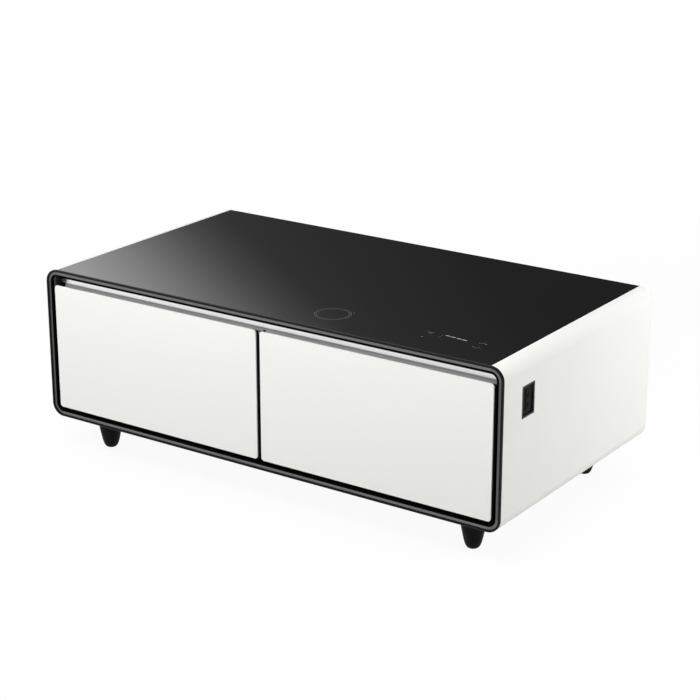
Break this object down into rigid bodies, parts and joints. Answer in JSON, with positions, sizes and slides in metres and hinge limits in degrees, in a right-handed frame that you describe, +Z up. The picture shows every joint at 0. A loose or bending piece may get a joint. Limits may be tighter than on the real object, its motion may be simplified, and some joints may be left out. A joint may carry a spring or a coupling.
{
  "type": "refrigerator coffee table",
  "caption": "Low rectangular coffee table with a black glass top over side-by-side chilled drawers, rounded white side panels, a dark front frame and short tapered feet.",
  "frame": {"origin": "on the floor, under the middle of the cabinet", "axes": "+X to the right seen from the front, +Y from the drawer fronts to the back, +Z up; the drawers open along -Y"},
  "size_m": [1.3, 0.7, 0.472],
  "materials": {
    "white_enamel": "satin",
    "white_glass": "gloss",
    "black_glass": "gloss",
    "black_frame": "gloss",
    "black_feet": "gloss",
    "black_plastic": "matte",
    "dark_grey": "matte",
    "bright_channel": "polished",
    "gasket": "matte",
    "tub": "satin",
    "liner": "satin",
    "slide_steel": "brushed",
    "galvanised": "matte",
    "foam": "matte",
    "cold_plate": "satin",
    "copper": "satin",
    "compressor_black": "satin",
    "board": "matte"
  },
  "bodies": {
    "cabinet": {"base_panel": "galvanised", "centre_mullion": "black_plastic", "charging_coil": "copper", "compressor": "compressor_black", "compressor_tray": "galvanised", "condenser": "cold_plate", "control_board": "board", "control_box": "black_plastic", "discharge_pipe": "copper", "evaporator_link_pipe": "copper", "fan_motor": "dark_grey", "fan_shroud": "black_plastic", "filter_drier": "copper", "front_foot_rail": "galvanised", "front_frame": "black_frame", "front_left_foot": "black_feet", "front_right_foot": "black_feet", "insulation_foam": "foam", "left_evaporator": "cold_plate", "left_inner_slide_cabinet_member": "slide_steel", "left_liner": "liner", "left_outer_slide_cabinet_member": "slide_steel", "left_side_shell": "white_enamel", "power_inlet": "black_plastic", "rear_foot_rail": "galvanised", "rear_grille": "black_plastic", "rear_left_foot": "black_feet", "rear_panel": "white_enamel", "rear_right_foot": "black_feet", "right_evaporator": "cold_plate", "right_inner_slide_cabinet_member": "slide_steel", "right_liner": "liner", "right_outer_slide_cabinet_member": "slide_steel", "right_side_shell": "white_enamel", "side_port_bezel": "dark_grey", "side_port_module": "black_plastic", "suction_pipe": "copper", "top_deck": "galvanised", "top_glass": "black_glass", "touch_board": "board"},
    "left_drawer": {"left_drawer_front": "white_glass", "left_drawer_core": "black_plastic", "left_drawer_handle": "bright_channel", "left_drawer_gasket": "gasket", "left_drawer_tub": "tub", "left_outer_slide_drawer_member": "slide_steel", "left_inner_slide_drawer_member": "slide_steel"},
    "left_runners": {"left_outer_slide_middle_member": "slide_steel", "left_inner_slide_middle_member": "slide_steel"},
    "right_drawer": {"right_drawer_front": "white_glass", "right_drawer_core": "black_plastic", "right_drawer_handle": "bright_channel", "right_drawer_gasket": "gasket", "right_drawer_tub": "tub", "right_outer_slide_drawer_member": "slide_steel", "right_inner_slide_drawer_member": "slide_steel"},
    "right_runners": {"right_outer_slide_middle_member": "slide_steel", "right_inner_slide_middle_member": "slide_steel"},
    "fan": {"condenser_fan": "dark_grey"}
  },
  "joints": [
    {"name": "left_drawer_slide", "type": "slide", "parent": "cabinet", "child": "left_drawer", "axis": [0, -1, 0], "range_m": [0, 0.43]},
    {"name": "left_runner_slide", "type": "slide", "parent": "cabinet", "child": "left_runners", "axis": [0, -1, 0], "range_m": [0, 0.215]},
    {"name": "right_drawer_slide", "type": "slide", "parent": "cabinet", "child": "right_drawer", "axis": [0, -1, 0], "range_m": [0, 0.43]},
    {"name": "right_runner_slide", "type": "slide", "parent": "cabinet", "child": "right_runners", "axis": [0, -1, 0], "range_m": [0, 0.215]},
    {"name": "fan_spin", "type": "hinge", "parent": "cabinet", "child": "fan", "pos_m": [0.109, 0.2795, 0.1887], "axis": [1, 0, 0], "continuous": true}
  ],
  "couplings": [
    {"joint": "left_runner_slide", "follows": "left_drawer_slide", "ratio": 0.5},
    {"joint": "right_runner_slide", "follows": "right_drawer_slide", "ratio": 0.5}
  ]
}
